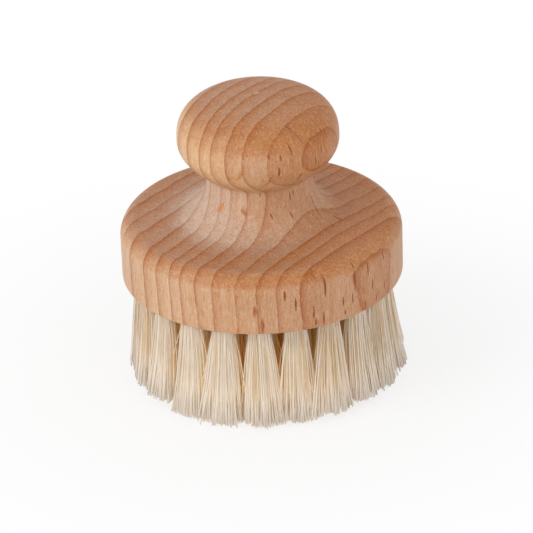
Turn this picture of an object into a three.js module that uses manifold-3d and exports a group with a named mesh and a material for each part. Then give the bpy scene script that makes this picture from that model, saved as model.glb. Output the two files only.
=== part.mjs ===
// Facial brush. The body is turned from one piece of beech: a grip knob on a waisted neck that sweeps out
// into a round head. Tufts of plant fibre are folded over wire staples in blind holes in the head's
// underside and trimmed level. Each ring of tufts stands on its own thin slice of the wooden face.
// Millimetres, +Z up. The origin is on the axis of turning, in the plane that the fibres are trimmed to.

import * as THREE from "three";
import { mergeVertices, toCreasedNormals } from "three/addons/utils/BufferGeometryUtils.js";
import Module from "manifold-3d";

const wasm = await Module();
wasm.setup();

// Turned body
const HEAD_DIAMETER = 65;
const HEAD_SIDE_HEIGHT = 10.1; // straight wall, from the underside to the rounding above it
const HEAD_TOP_ROUNDING = 4.3;
const HEAD_LOWER_ARRIS = 0.6; // sanded edge of the underside
const TOP_FACE_RISE = 0.3; // from the rounding in to the foot of the cove
const COVE_DIAMETER = 39; // where the cove runs out into the top face
const NECK_DIAMETER = 23.9;
const NECK_ABOVE_TOP_FACE = 10.2; // height of the narrowest section
const KNOB_DIAMETER = 37.1;
const BELLY_ABOVE_NECK = 8.8; // height from the narrowest section to the widest
const CROWN_ABOVE_BELLY = 10.9;
const CROWN_FULLNESS = 2.6; // exponent of the crown's curve: 2 is an ellipse, more is squarer
const NECK_SHARPNESS = 0.07; // pull of the neck's upper curve: 0 is a corner, 1 a long sweep
const BELLY_SWEEP = 0.55; // pull of the knob's underside up towards the belly

// Tufts and their holes
const BRISTLE_LENGTH = 25; // free length, from the wooden face to the trim
const RING_TUFTS = [21, 14, 7, 1]; // tufts in each ring, from the outside in
const FIRST_TUFT_ANGLE = -92.6; // degrees from +X, a little past the front
const RIM_WIDTH = 2.4; // wood left between the outer holes and the head's edge
const HOLE_DIAMETER = 5;
const WOOD_PAST_HOLES = 6.4; // left between the holes' ends and the top face
const OUTER_LEAN = 0.6; // how far the outer tufts have leant outwards at the trim
const TIP_GAP = 0.5; // left between neighbouring tufts at the trim
const STRAND_WIDTH = 0.85;
const STRAND_CIRCLES = [1, 3, 6]; // strands in each circle of one tuft, from its middle out
const FACE_SLICE = 1.2; // thickness of the slice of wooden face that a ring of tufts stands on
const FACE_MARGIN = 0.6; // of the slice, outside the outer holes

// Staples
const WIRE_THICKNESS = 0.6;
const WIRE_WIDTH = 0.8;
const STAPLE_INSET = 0.55; // of the legs inside the hole's wall
const STAPLE_BEND = 0.9; // outside radius of the crown's corners
const FOLD_THICKNESS = 1.6; // of the fibres that pass round the staple's crown
const LEG_BITE = 3; // of the legs into the wood past the end of the hole

// Clearances
const SLICE_CLEARANCE = 0.3; // round each slice of the face
const ROOT_CLEARANCE = 0.3; // between a tuft's root and its hole
const STAPLE_CLEARANCE = 0.2; // round a staple, in the fibres and in the wood
const CUT_OVERRUN = 1; // of a cut past the face that it starts from

// Facets
const TURNING_FACETS = 48;
const SLICE_FACETS = 32;
const HOLE_FACETS = 8;
const STRAND_SIDES = 3;
const ARRIS_STEPS = 2;
const ROUNDING_STEPS = 5;
const COVE_STEPS = 7;
const UNDERSIDE_STEPS = 7;
const CROWN_STEPS = 9;
const STAPLE_BEND_STEPS = 1;
const CREASE_ANGLE = Math.PI / 6;

// Worked out from the sizes above
const headRadius = HEAD_DIAMETER / 2;
const holeRadius = HOLE_DIAMETER / 2;
const faceZ = BRISTLE_LENGTH;
const sideTopZ = faceZ + HEAD_SIDE_HEIGHT;
const topFaceZ = sideTopZ + HEAD_TOP_ROUNDING;
const holeEndZ = topFaceZ - WOOD_PAST_HOLES;
const sliceTopZ = faceZ + FACE_SLICE;
const outerRingRadius = headRadius - RIM_WIDTH - holeRadius;
const ringStep = outerRingRadius / (RING_TUFTS.length - 1);
const leanScale = (outerRingRadius + OUTER_LEAN) / outerRingRadius;
const ringNames = ["outer", "middle", "inner", "centre"];
const rings = RING_TUFTS.map((count, k) => ({
  name: ringNames[k],
  count,
  radius: outerRingRadius - k * ringStep,
}));

const beech = new THREE.MeshStandardMaterial({ color: 0xcb9a72, roughness: 0.55, metalness: 0 });
const fibre = new THREE.MeshStandardMaterial({ color: 0xdcc8ab, roughness: 0.6, metalness: 0 });
const steelWire = new THREE.MeshStandardMaterial({ color: 0xa9abae, roughness: 0.35, metalness: 0.9 });

// A closed three.js geometry as a solid that can be cut and joined.
function solidFrom(geometry) {
  const bare = geometry.clone();
  bare.deleteAttribute("normal");
  bare.deleteAttribute("uv");
  const merged = mergeVertices(bare, 1e-4);
  const corners = [];
  for (let i = 0; i < merged.index.count; i += 3) {
    const [a, b, c] = merged.index.array.slice(i, i + 3);
    if (a !== b && b !== c && c !== a) corners.push(a, b, c);
  }
  const mesh = new wasm.Mesh({
    numProp: 3,
    vertProperties: merged.getAttribute("position").array,
    triVerts: new Uint32Array(corners),
  });
  return new wasm.Manifold(mesh);
}

// A solid as a three.js geometry, smooth on its curves and sharp at its edges.
function geometryFrom(solid) {
  const mesh = solid.getMesh();
  const geometry = new THREE.BufferGeometry();
  geometry.setAttribute("position", new THREE.BufferAttribute(mesh.vertProperties, 3));
  geometry.setIndex(new THREE.BufferAttribute(mesh.triVerts, 1));
  return toCreasedNormals(geometry, CREASE_ANGLE);
}

// A profile of radius and height turned about +Z.
function turned(points, facets) {
  return new THREE.LatheGeometry(points, facets).rotateX(Math.PI / 2);
}

// An upright round bar or taper between two heights.
function upright(lowRadius, highRadius, lowZ, highZ, facets) {
  const bar = new THREE.CylinderGeometry(highRadius, lowRadius, highZ - lowZ, facets);
  bar.rotateX(Math.PI / 2);
  return bar.translate(0, 0, (lowZ + highZ) / 2);
}

// Where each tuft of a ring stands: its angle, its middle, and the transform that takes a tuft from the
// axis to there, with its X along the ring.
function tuftPlaces(ring) {
  return Array.from({ length: ring.count }, (_, i) => {
    const angle = THREE.MathUtils.degToRad(FIRST_TUFT_ANGLE) + (i / ring.count) * 2 * Math.PI;
    const middle = new THREE.Vector2(Math.cos(angle), Math.sin(angle)).multiplyScalar(ring.radius);
    const place = new THREE.Matrix4().makeRotationZ(angle + Math.PI / 2);
    place.setPosition(middle.x, middle.y, 0);
    return { angle, middle, place };
  });
}

// The body's outline, from the middle of the underside to the top of the knob.
function bodyProfile() {
  const coveFoot = topFaceZ + TOP_FACE_RISE;
  const coveRadius = COVE_DIAMETER / 2;
  const neckRadius = NECK_DIAMETER / 2;
  const neckZ = coveFoot + NECK_ABOVE_TOP_FACE;
  const knobRadius = KNOB_DIAMETER / 2;
  const bellyZ = neckZ + BELLY_ABOVE_NECK;
  const arrisMiddle = headRadius - HEAD_LOWER_ARRIS;
  const arris = new THREE.EllipseCurve(
    arrisMiddle, faceZ + HEAD_LOWER_ARRIS, HEAD_LOWER_ARRIS, HEAD_LOWER_ARRIS, -Math.PI / 2, 0,
  );
  const roundingMiddle = headRadius - HEAD_TOP_ROUNDING;
  const rounding = new THREE.EllipseCurve(
    roundingMiddle, sideTopZ, HEAD_TOP_ROUNDING, HEAD_TOP_ROUNDING, 0, Math.PI / 2,
  );
  const coveWidth = coveRadius - neckRadius;
  const cove = new THREE.EllipseCurve(
    coveRadius, neckZ, coveWidth, NECK_ABOVE_TOP_FACE, -Math.PI / 2, -Math.PI, true,
  );
  const knobUnderside = new THREE.CubicBezierCurve(
    new THREE.Vector2(neckRadius, neckZ),
    new THREE.Vector2(neckRadius, neckZ + NECK_SHARPNESS * BELLY_ABOVE_NECK),
    new THREE.Vector2(knobRadius, bellyZ - BELLY_SWEEP * BELLY_ABOVE_NECK),
    new THREE.Vector2(knobRadius, bellyZ),
  );
  const crownPoint = (share) => {
    const a = (share * Math.PI) / 2;
    const power = 2 / CROWN_FULLNESS;
    const r = share < 1 ? knobRadius * Math.cos(a) ** power : 0;
    return new THREE.Vector2(r, bellyZ + CROWN_ABOVE_BELLY * Math.sin(a) ** power);
  };
  const crown = Array.from({ length: CROWN_STEPS }, (_, i) => crownPoint((i + 1) / CROWN_STEPS));
  return [
    new THREE.Vector2(0, faceZ),
    ...arris.getPoints(ARRIS_STEPS),
    ...rounding.getPoints(ROUNDING_STEPS),
    ...cove.getPoints(COVE_STEPS),
    ...knobUnderside.getPoints(UNDERSIDE_STEPS).slice(1),
    ...crown,
  ];
}

// The staple's U, standing on the axis with its crown along X and its legs going up into the wood.
const stapleHalf = holeRadius - STAPLE_INSET;
const crownZ = holeEndZ - ROOT_CLEARANCE - FOLD_THICKNESS - WIRE_THICKNESS;
const legTopZ = holeEndZ + LEG_BITE;
const legMiddle = stapleHalf - WIRE_THICKNESS / 2;

function stapleGeometry() {
  const inner = stapleHalf - WIRE_THICKNESS;
  const outline = new THREE.Shape();
  outline.moveTo(-stapleHalf, legTopZ);
  outline.lineTo(-stapleHalf, crownZ + STAPLE_BEND);
  outline.absarc(-stapleHalf + STAPLE_BEND, crownZ + STAPLE_BEND, STAPLE_BEND, Math.PI, 1.5 * Math.PI);
  outline.absarc(stapleHalf - STAPLE_BEND, crownZ + STAPLE_BEND, STAPLE_BEND, 1.5 * Math.PI, 2 * Math.PI);
  outline.lineTo(stapleHalf, legTopZ);
  outline.lineTo(inner, legTopZ);
  outline.lineTo(inner, crownZ + WIRE_THICKNESS);
  outline.lineTo(-inner, crownZ + WIRE_THICKNESS);
  outline.lineTo(-inner, legTopZ);
  outline.closePath();
  const wire = new THREE.ExtrudeGeometry(outline, {
    depth: WIRE_WIDTH,
    bevelEnabled: false,
    curveSegments: STAPLE_BEND_STEPS,
  });
  return wire.translate(0, 0, -WIRE_WIDTH / 2).rotateX(Math.PI / 2);
}

// The hole for one tuft, with the two cuts that its staple's legs have made in the wood past its end.
function tuftHole() {
  const hole = solidFrom(upright(holeRadius, holeRadius, faceZ - CUT_OVERRUN, holeEndZ, HOLE_FACETS));
  const cutDepth = LEG_BITE + STAPLE_CLEARANCE;
  const legCuts = [-legMiddle, legMiddle].map((x) => {
    const cut = new THREE.BoxGeometry(
      WIRE_THICKNESS + 2 * STAPLE_CLEARANCE,
      WIRE_WIDTH + 2 * STAPLE_CLEARANCE,
      cutDepth * 2,
    );
    return solidFrom(cut.translate(x, 0, holeEndZ));
  });
  return wasm.Manifold.union([hole, ...legCuts]);
}

// The part of one tuft inside its hole: drawn in to its fold, with the staple's crown through it.
function tuftRoot() {
  const foldZ = holeEndZ - ROOT_CLEARANCE;
  const mouthRadius = holeRadius - ROOT_CLEARANCE;
  const foldRadius = stapleHalf - WIRE_THICKNESS - STAPLE_CLEARANCE;
  const root = solidFrom(upright(mouthRadius, foldRadius, sliceTopZ - FACE_SLICE / 2, foldZ, HOLE_FACETS));
  const crownWay = new THREE.BoxGeometry(
    HOLE_DIAMETER,
    WIRE_WIDTH + 2 * STAPLE_CLEARANCE,
    WIRE_THICKNESS + 2 * STAPLE_CLEARANCE,
  );
  return root.subtract(solidFrom(crownWay.translate(0, 0, crownZ + WIRE_THICKNESS / 2)));
}

// One straight strand from inside the slice of the face down to the trim, as a closed prism.
function strandGeometry(root, tip, turn) {
  const strandRadius = STRAND_WIDTH / 2;
  const ends = [
    { middle: root, z: faceZ + FACE_SLICE / 2 },
    { middle: tip, z: 0 },
  ];
  const positions = [];
  for (const { middle, z } of ends) {
    for (let s = 0; s < STRAND_SIDES; s++) {
      const a = turn + (s / STRAND_SIDES) * 2 * Math.PI;
      positions.push(middle.x + Math.cos(a) * strandRadius, middle.y + Math.sin(a) * strandRadius, z);
    }
  }
  const index = [];
  for (let s = 0; s < STRAND_SIDES; s++) {
    const next = (s + 1) % STRAND_SIDES;
    index.push(s, s + STRAND_SIDES, next, next, s + STRAND_SIDES, next + STRAND_SIDES);
    if (s > 1) index.push(0, s - 1, s, STRAND_SIDES, STRAND_SIDES + s, STRAND_SIDES + s - 1);
  }
  const strand = new THREE.BufferGeometry();
  strand.setAttribute("position", new THREE.Float32BufferAttribute(positions, 3));
  return strand.setIndex(index);
}

// How wide a tuft of this ring has fanned out at the trim, to the middles of its outermost strands.
function fanRadius(ring) {
  const spacings = [ringStep * leanScale];
  if (ring.count > 1) spacings.push(2 * ring.radius * leanScale * Math.sin(Math.PI / ring.count));
  return (Math.min(...spacings) - TIP_GAP - STRAND_WIDTH) / 2;
}

// The strands of one tuft, in circles about its middle, fanning out and leaning outwards to the trim.
function tuftStrands(ring, angle, middle) {
  const rootReach = holeRadius - ROOT_CLEARANCE - STRAND_WIDTH / 2;
  const tipReach = fanRadius(ring);
  const strands = [];
  STRAND_CIRCLES.forEach((count, circle) => {
    const share = circle / (STRAND_CIRCLES.length - 1);
    for (let i = 0; i < count; i++) {
      const a = angle + ((i + circle / 2) / count) * 2 * Math.PI;
      const outwards = new THREE.Vector2(Math.cos(a), Math.sin(a));
      const root = middle.clone().addScaledVector(outwards, share * rootReach);
      const tip = middle.clone().multiplyScalar(leanScale).addScaledVector(outwards, share * tipReach);
      strands.push(solidFrom(strandGeometry(root, tip, a)));
    }
  });
  return strands;
}

// The slice of wooden face that a ring of tufts stands on: a flat ring, or a disc in the middle.
const faceReach = outerRingRadius + holeRadius + FACE_MARGIN;

function faceSlice(ring) {
  const halfGap = SLICE_CLEARANCE / 2;
  const outside = ring === rings[0] ? faceReach : ring.radius + ringStep / 2 - halfGap;
  const inside = ring.radius > ringStep / 2 ? ring.radius - ringStep / 2 + halfGap : 0;
  const outline = [
    new THREE.Vector2(inside, faceZ),
    new THREE.Vector2(outside, faceZ),
    new THREE.Vector2(outside, sliceTopZ),
    new THREE.Vector2(inside, sliceTopZ),
  ];
  if (inside > 0) outline.push(outline[0].clone());
  return solidFrom(turned(outline, SLICE_FACETS));
}

function bodySolid() {
  const blank = solidFrom(turned(bodyProfile(), TURNING_FACETS));
  const recessRadius = (faceReach + SLICE_CLEARANCE) / Math.cos(Math.PI / TURNING_FACETS);
  const recess = solidFrom(
    upright(recessRadius, recessRadius, faceZ - CUT_OVERRUN, sliceTopZ + SLICE_CLEARANCE, TURNING_FACETS),
  );
  const hole = tuftHole();
  const holes = rings.flatMap((ring) => tuftPlaces(ring).map(({ place }) => hole.transform(place.elements)));
  return blank.subtract(wasm.Manifold.union([recess, ...holes]));
}

function ringSolid(ring) {
  const root = tuftRoot();
  const tufts = tuftPlaces(ring).flatMap(({ angle, middle, place }) => [
    root.transform(place.elements),
    ...tuftStrands(ring, angle, middle),
  ]);
  return wasm.Manifold.union([faceSlice(ring), ...tufts]);
}

const brush = new THREE.Group();

function addPiece(name, geometry, material) {
  const piece = new THREE.Mesh(geometry, material);
  piece.name = name;
  brush.add(piece);
  return piece;
}

addPiece("turned_body", geometryFrom(bodySolid()), beech);
const staple = stapleGeometry();
for (const ring of rings) {
  addPiece(`${ring.name}_tufts`, geometryFrom(ringSolid(ring)), fibre);
  tuftPlaces(ring).forEach(({ place }, i) => {
    const number = String(i + 1).padStart(2, "0");
    addPiece(`staple_${ring.name}_${number}`, staple, steelWire).applyMatrix4(place);
  });
}

export default brush;
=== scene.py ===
"""Looks of the facial brush: a turned and drilled beech body, four rings of fibre tufts folded over wire
staples, and a plain stage. Metres, +Z up, in the frame of the packed part."""

import math

import bpy
from bpy.props import FloatProperty, FloatVectorProperty, IntProperty, PointerProperty
from mathutils import Matrix, Vector


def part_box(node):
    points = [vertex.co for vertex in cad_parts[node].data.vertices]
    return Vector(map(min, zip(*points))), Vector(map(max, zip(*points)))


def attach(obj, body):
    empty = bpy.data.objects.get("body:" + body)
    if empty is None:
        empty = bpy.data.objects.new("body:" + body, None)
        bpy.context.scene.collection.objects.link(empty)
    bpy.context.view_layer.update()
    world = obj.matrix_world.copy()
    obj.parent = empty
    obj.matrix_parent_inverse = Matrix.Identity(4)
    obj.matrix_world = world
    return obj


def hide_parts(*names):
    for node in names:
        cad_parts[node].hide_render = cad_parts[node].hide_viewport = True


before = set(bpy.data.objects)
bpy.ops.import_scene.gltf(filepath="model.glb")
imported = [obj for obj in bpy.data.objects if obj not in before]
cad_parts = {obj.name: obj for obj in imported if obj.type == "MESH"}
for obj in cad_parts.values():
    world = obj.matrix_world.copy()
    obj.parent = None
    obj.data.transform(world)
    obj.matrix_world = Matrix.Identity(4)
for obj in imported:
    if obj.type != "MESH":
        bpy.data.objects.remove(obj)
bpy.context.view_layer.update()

bl_info = {
    "name": "Facial Brush",
    "version": (1, 0, 0),
    "blender": (4, 5, 0),
    "location": "3D View > Sidebar > Brush",
    "description": "Makes a turned beech facial brush with stapled fibre tufts",
    "category": "Object",
}

MM = 0.001
BODY_LOW, BODY_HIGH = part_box("turned_body")
FACE_Z = BODY_LOW.z
HEAD_RADIUS = BODY_HIGH.x
STAPLE_LOW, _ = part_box("staple_centre_01")

# The rings of tufts, each as the packed part's node, its tufts and its radius in mm.
RINGS = (
    ("outer_tufts", 21, 27.6),
    ("middle_tufts", 14, 18.4),
    ("inner_tufts", 7, 9.2),
    ("centre_tufts", 1, 0.0),
)

# Year-ring lines across the blank, in mm along the rings' normal, at the height of the head's side.
RING_LINES = (
    -38.0, -34.2, -30.2, -25.9, -21.4, -16.4, -10.3, -5.6, -1.5, 1.6,
    5.4, 9.3, 14.3, 18.7, 22.4, 26.2, 32.5, 35.2, 38.0,
)

# Single rays that show, each a thin upright sheet in the wood. Each has its middle, out along the normal of
# the rings, along the rings and in height, then its half height and half thickness, in mm.
RAYS = (
    (32.0, -2.45, 35.3, 2.2, 0.24), (32.0, 3.6, 36.1, 1.3, 0.2), (32.0, 6.5, 34.9, 0.85, 0.14),
    (31.8, -6.6, 33.9, 3.2, 0.26), (32.5, -0.92, 30.7, 1.8, 0.2), (32.3, 3.93, 28.65, 1.8, 0.16),
    (29.0, -14.2, 35.2, 3.4, 0.26), (31.0, -6.45, 37.5, 1.0, 0.13), (31.0, -9.9, 30.0, 1.5, 0.22),
    (31.6, -7.37, 29.8, 1.6, 0.2), (31.0, -9.45, 27.0, 0.8, 0.2), (27.8, -16.8, 29.25, 2.1, 0.24),
    (29.0, -14.65, 27.2, 2.2, 0.2), (28.0, -16.4, 26.7, 1.3, 0.2), (32.3, -3.48, 26.7, 1.5, 0.17),
    (32.5, 0.44, 26.8, 1.1, 0.14), (25.5, -20.2, 31.9, 2.2, 0.18), (27.0, -15.9, 37.8, 1.2, 0.14),
    (15.3, -28.65, 34.5, 0.9, 0.17), (18.75, -26.53, 31.05, 1.7, 0.28), (20.0, -25.57, 27.2, 2.3, 0.26),
    (15.4, -28.6, 25.9, 0.9, 0.2), (23.85, -22.05, 34.5, 1.5, 0.2), (13.07, -12.65, 62.1, 0.8, 0.16),
    (7.3, -16.62, 57.5, 1.9, 0.22), (9.27, -15.46, 62.65, 0.6, 0.13), (9.94, -8.41, 44.7, 0.8, 0.13),
    (11.5, -12.3, 55.0, 2.9, 0.2), (10.0, -9.3, 51.4, 2.8, 0.17), (14.9, -10.63, 61.5, 0.9, 0.17),
    (14.75, -11.15, 58.3, 1.4, 0.2), (15.8, -8.3, 62.9, 1.8, 0.17), (16.5, -6.05, 55.6, 1.5, 0.2),
    (18.3, -2.45, 58.4, 1.5, 0.18), (18.4, -0.4, 60.6, 1.3, 0.17), (18.35, -1.45, 57.6, 0.8, 0.13),
    (11.5, -3.5, 48.3, 1.5, 0.14), (11.7, -2.6, 48.9, 1.2, 0.12), (13.5, 3.2, 43.4, 3.2, 0.11),
    (12.5, -4.4, 44.1, 0.9, 0.12), (14.8, 0.95, 66.6, 1.7, 0.1), (17.5, 2.25, 63.4, 1.3, 0.13),
    (17.1, 1.2, 64.3, 0.8, 0.11),
)
RAY_REACH = 10.0  # half of each ray's depth into the wood
RAY_BLUR = 0.06  # added to each ray's half thickness, for its soft edge

# Small marks in the wood as their two ends in mm, their half width in mm and their colour.
BLEMISHES = (
    ((5.9, -12.5, 67.3), (7.9, -13.6, 65.9), 0.32, "check"),
    ((7.6, -13.4, 66.1), (9.8, -14.5, 63.8), 0.4, "check"),
    ((16.5, -4.7, 40.1), (18.9, -6.3, 39.6), 0.45, "check"),
    ((-9.9, -8.8, 44.2), (-8.2, -9.2, 46.7), 0.95, "knot"),
    ((-4.4, -11.7, 46.2), (-3.1, -12.6, 44.9), 0.8, "late"),
    ((-0.5, -0.6, 69.6), (0.5, 0.4, 69.6), 0.5, "sanded"),
)

# Steps along the parts of the body's profile, from the underside up.
ARRIS_STEPS = 6
ROUNDING_STEPS = 14
FACE_STEPS = 10
COVE_STEPS = 26
BELLY_STEPS = 28
CROWN_STEPS = 36
STRAIGHT = 0.2 * MM  # from the end of a wall to its next point, so that its shading stays flat
ROUNDED = 0.86  # share of a quarter turn that the head's upper edge takes
DISH_SCALE = 27 / 4  # brings the peak of t (1 - t)^2 to 1
SEAM = 1e-6  # within which the ends of the turned grid are joined
SHARP_EDGE = math.radians(35)

DRILL_OVERRUN = 1 * MM  # of each drill past the face that it starts from
HOLE_SIDES = 32

LEG_POINTS = 5  # of a fibre on each side of its fold
STRAND_SIDES = 3
STRAND_EDGE = math.radians(125)
GOLDEN_TURN = 0.618034  # from one fibre of a tuft to the next, as a share of half a turn
TUFT_STEP = (0.031, 0.017)  # from one tuft to the next in the noise, so that no two have the same locks
SEED_STEP = 40  # from one ring's seeds to the next ring's
FIBRE_MARKS = ("fibre_shade", "fibre_free", "fibre_tuft")

# The floor, and the lamps as their place, the point that they face and their size, in metres.
FLOOR_RADIUS = 3.0
FLOOR_SIDES = 64
FLOOR_WHITE = 0.93
KEY_LAMP = ((-0.86, -0.42, 0.6), (0.0, 0.0, 0.04), 0.6)
FILL_LAMP = ((0.5, -0.95, 0.12), (0.0, 0.0, 0.02), 0.7)


def srgb(red, green, blue):
    """A colour picked in 8-bit sRGB, as the linear values that a material takes."""
    shares = [channel / 255 for channel in (red, green, blue)]
    return tuple(s / 12.92 if s <= 0.04045 else ((s + 0.055) / 1.055) ** 2.4 for s in shares)


def length(name, description, millimetres):
    """A size that is kept in metres and shown in the scene's units."""
    return FloatProperty(
        name=name,
        description=description,
        default=millimetres * MM,
        unit="LENGTH",
        subtype="DISTANCE",
        precision=5,
    )


def colour(name, description, red, green, blue):
    """A colour that is kept in linear values."""
    return FloatVectorProperty(
        name=name,
        description=description,
        default=srgb(red, green, blue),
        subtype="COLOR",
        min=0.0,
        max=1.0,
    )


def angle(name, description, degrees):
    """A turn that is kept in radians."""
    return FloatProperty(
        name=name, description=description, default=math.radians(degrees), unit="ROTATION", subtype="ANGLE"
    )


def share(name, description, default):
    """A share between nothing and all."""
    return FloatProperty(
        name=name, description=description, default=default, min=0.0, max=1.0, subtype="FACTOR"
    )


def level(name, description, default, unit="NONE"):
    """A strength that starts at nothing."""
    return FloatProperty(name=name, description=description, default=default, min=0.0, unit=unit)


def whole_number(name, description, default, low=0, high=2**31 - 1):
    """A number of things, or the start of what is random."""
    return IntProperty(name=name, description=description, default=default, min=low, max=high)


class BodySizes(bpy.types.PropertyGroup):
    """Sizes of the turned body."""

    arris: length("Lower Arris", "Radius of the sanded edge of the underside", 0.6)
    side_height: length("Side Height", "Straight wall of the head", 10.1)
    rounding: length("Top Rounding", "Radius of the head's upper edge", 4.3)
    face_rise: length("Top Face Rise", "Rise of the top face in to the cove", 0.3)
    face_dish: length("Top Face Dish", "How far the top face sinks inside its edge", 0.2)
    cove_diameter: length("Cove Diameter", "Where the cove runs out into the top face", 39.0)
    neck_diameter: length("Neck Diameter", "Narrowest section", 23.9)
    neck_height: length("Neck Height", "Narrowest section above the top face", 10.2)
    knob_diameter: length("Knob Diameter", "Widest section of the grip", 37.1)
    belly_height: length("Belly Height", "Widest section of the grip above the neck", 8.8)
    crown_fullness: FloatProperty(
        name="Crown Fullness", description="2 is an ellipse, more is squarer", default=2.6, min=1.5, max=6.0
    )
    neck_sharpness: share("Neck Sharpness", "Pull of the neck's upper curve", 0.13)
    belly_sweep: share("Belly Sweep", "Pull of the knob's underside towards the belly", 0.55)
    segments: whole_number("Segments", "Facets round the body", 144, 24, 256)


class TuftSizes(bpy.types.PropertyGroup):
    """Sizes of the tufts, their holes and their fibres."""

    first_angle: angle("First Tuft", "Direction of each ring's first tuft from +X", -92.6)
    hole_diameter: length("Hole Diameter", "Of each drilled hole", 5.0)
    hole_depth: length("Hole Depth", "From the underside to the end of the hole", 8.0)
    leg_bite: length("Leg Bite", "Of the staple's legs past the end of the hole", 3.2)
    leg_spread: length("Leg Spread", "Of each leg from the middle of the hole", 1.65)
    leg_width: length("Leg Width", "Across the cut that a leg is pressed into", 1.2)
    mouth_slack: length("Mouth Slack", "Left between the fibres and the hole's wall", 0.2)
    fold_slack: length("Fold Slack", "Left between the folds and the end of the hole", 0.3)
    fold_rise: length("Fold Rise", "Of the lowest fold above the underside of the staple's crown", 1.4)
    crown_rise: length("Crown Rise", "Of a fibre beside the crown above the crown's underside", 0.3)
    fold_gap: length("Fold Gap", "Between a fibre's two legs beside the crown, halved", 0.9)
    fold_width: length("Fold Width", "Reach of the folds along the crown", 1.0)
    fibre_width: length("Fibre Width", "Across one fibre", 0.32)
    fibres: whole_number("Folded Fibres", "Fibres in one tuft, each folded into two legs", 150, 8, 152)
    fan_along: length("Fan Along", "Reach of a tuft's tips along its ring", 4.7)
    fan_across: length("Fan Across", "Reach of a tuft's tips across its ring", 4.5)
    fan_rim: length("Fan Rim", "Reach of the outer ring's tips towards the rim", 3.0)
    tuft_drift: length("Tuft Drift", "How far a whole tuft's tips stand out of place", 0.8)
    lean: length("Lean", "How far the outer ring has leant out at the tips", 1.8)
    sweep: length("Sweep", "How far the tips from the middle to the back have been brushed towards +X", 1.3)
    clumping: length("Clumping", "How far tips draw together into locks", 1.5)
    unevenness: length("Unevenness", "Difference between the longest and shortest tips", 2.3)
    bow: length("Bow", "How far a fibre bends out of straight", 0.45)
    stray_share: share("Strays", "Share of fibres that lean out of their tuft", 0.1)
    stray_reach: length("Stray Reach", "How far a stray leans", 3.0)
    seed: whole_number("Seed", "Start of what is random in the tufts", 7)
    length_seed: whole_number("Length Seed", "Start of the lengths of whole tufts", 1677)


class BeechFinish(bpy.types.PropertyGroup):
    """Colours and figure of the beech."""

    side: colour("Quarter Grain", "Wood cut along its rays", 207, 167, 132)
    # Set darker also as painted shade, as it lies on the side away from the key lamp.
    flat: colour("Flat Grain", "Wood cut along its rings", 190, 143, 108)
    end: colour("End Grain", "Wood cut across its fibres", 177, 136, 110)
    end_deep: colour("End Grain, Heart Side", "Wood cut across its fibres, on the older side", 182, 123, 83)
    # Also laid on as painted shade on the knob's right-front side.
    oblique: colour("Oblique Grain", "Wood cut at a slant to its fibres", 182, 120, 72)
    # Laid over the cove and neck as painted light. It also colours the small pale mark at the lathe centre.
    sanded: colour("Sanded Hollow", "Wood left paler where the cove was sanded", 204, 178, 158)
    late: colour("Late Wood", "Dark side of each year ring", 168, 102, 52)
    line: colour("Ring Line", "Thin dark end of each year ring", 150, 72, 14)
    ray: colour("Rays", "Flecks of the rays", 130, 52, 14)
    # Also laid on as painted light under the knob and on its left side.
    blond: colour("Blond Streaks", "Paler streaks along the fibres", 228, 184, 132)
    amber: colour("Amber Streaks", "Deeper streaks along the fibres", 194, 130, 78)
    slant_ray: colour("Slanting Rays", "Flecks of the rays where they are cut aslant", 198, 120, 60)
    check: colour("Checks", "Short dark splits", 104, 76, 62)
    knot: colour("Pin Knots", "Small orange spots", 204, 128, 58)
    ring_angle: angle("Ring Direction", "Normal of the year rings from +X", -39.0)
    pith_distance: length("Pith Distance", "From the axis to the tree's pith", 700.0)
    ring_lean: level("Ring Lean", "Shift of the rings for each unit of height", 0.043)
    side_contrast: share("Ring Contrast, Side", "Strength of the rings in side grain", 0.36)
    end_contrast: share("Ring Contrast, End", "Strength of the rings in end grain", 0.88)


class FibreFinish(bpy.types.PropertyGroup):
    """Colours of the tuft fibres."""

    cream: colour("Cream", "Most of the fibres", 223, 205, 186)
    # Partly the fibres' own colour, partly painted shade: the darker strands stand in for shadow between the
    # strands.
    straw: colour("Straw", "The yellower fibres", 211, 175, 127)
    pale: colour("Pale", "The whitest fibres", 240, 229, 217)
    # Painted light: the tips are made paler and pinker where shade falls near the floor.
    tip: colour("Tips", "The bleached tips", 254, 240, 228)
    glow: colour("Glow", "Colour of light that has passed one wall of a fibre", 253, 250, 240)
    bounce: colour("Bounce", "Colour of a fibre as its neighbours see it", 252, 248, 236)


class StageSettings(bpy.types.PropertyGroup):
    """Camera, floor and light."""

    distance: length("Camera Distance", "From the camera to the point it turns about", 800.0)
    pivot_height: length("Pivot Height", "Height on the axis of the point that the camera turns about", 40.0)
    elevation: angle("Elevation", "Of the camera above level", 26.95)
    roll: angle("Roll", "Of the camera about its line of sight", 2.08)
    lens: FloatProperty(name="Lens", description="Focal length in mm", default=235.05, min=20.0)
    aim_across: length("Aim Across", "Of the line of sight past the pivot, to the camera's right", 1.36)
    aim_down: length("Aim Down", "Of the line of sight under the pivot", 13.11)
    surround: level("Surround", "Level of the even light from all round", 0.74)
    key_power: level("Key", "Main lamp, upper left", 4.1, "POWER")
    fill_power: level("Fill", "Front lamp, low", 2.9, "POWER")
    floor_shade: share("Floor Shade", "Share of the object's shadow that shows on the white floor", 0.25)


# Building node trees


def math_step(operation, reverse=False):
    """A method that feeds a signal, and what it is set against, to a math node."""

    def method(self, *others):
        return self.step(operation, *(others + (self,) if reverse else (self,) + others))

    return method


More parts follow.
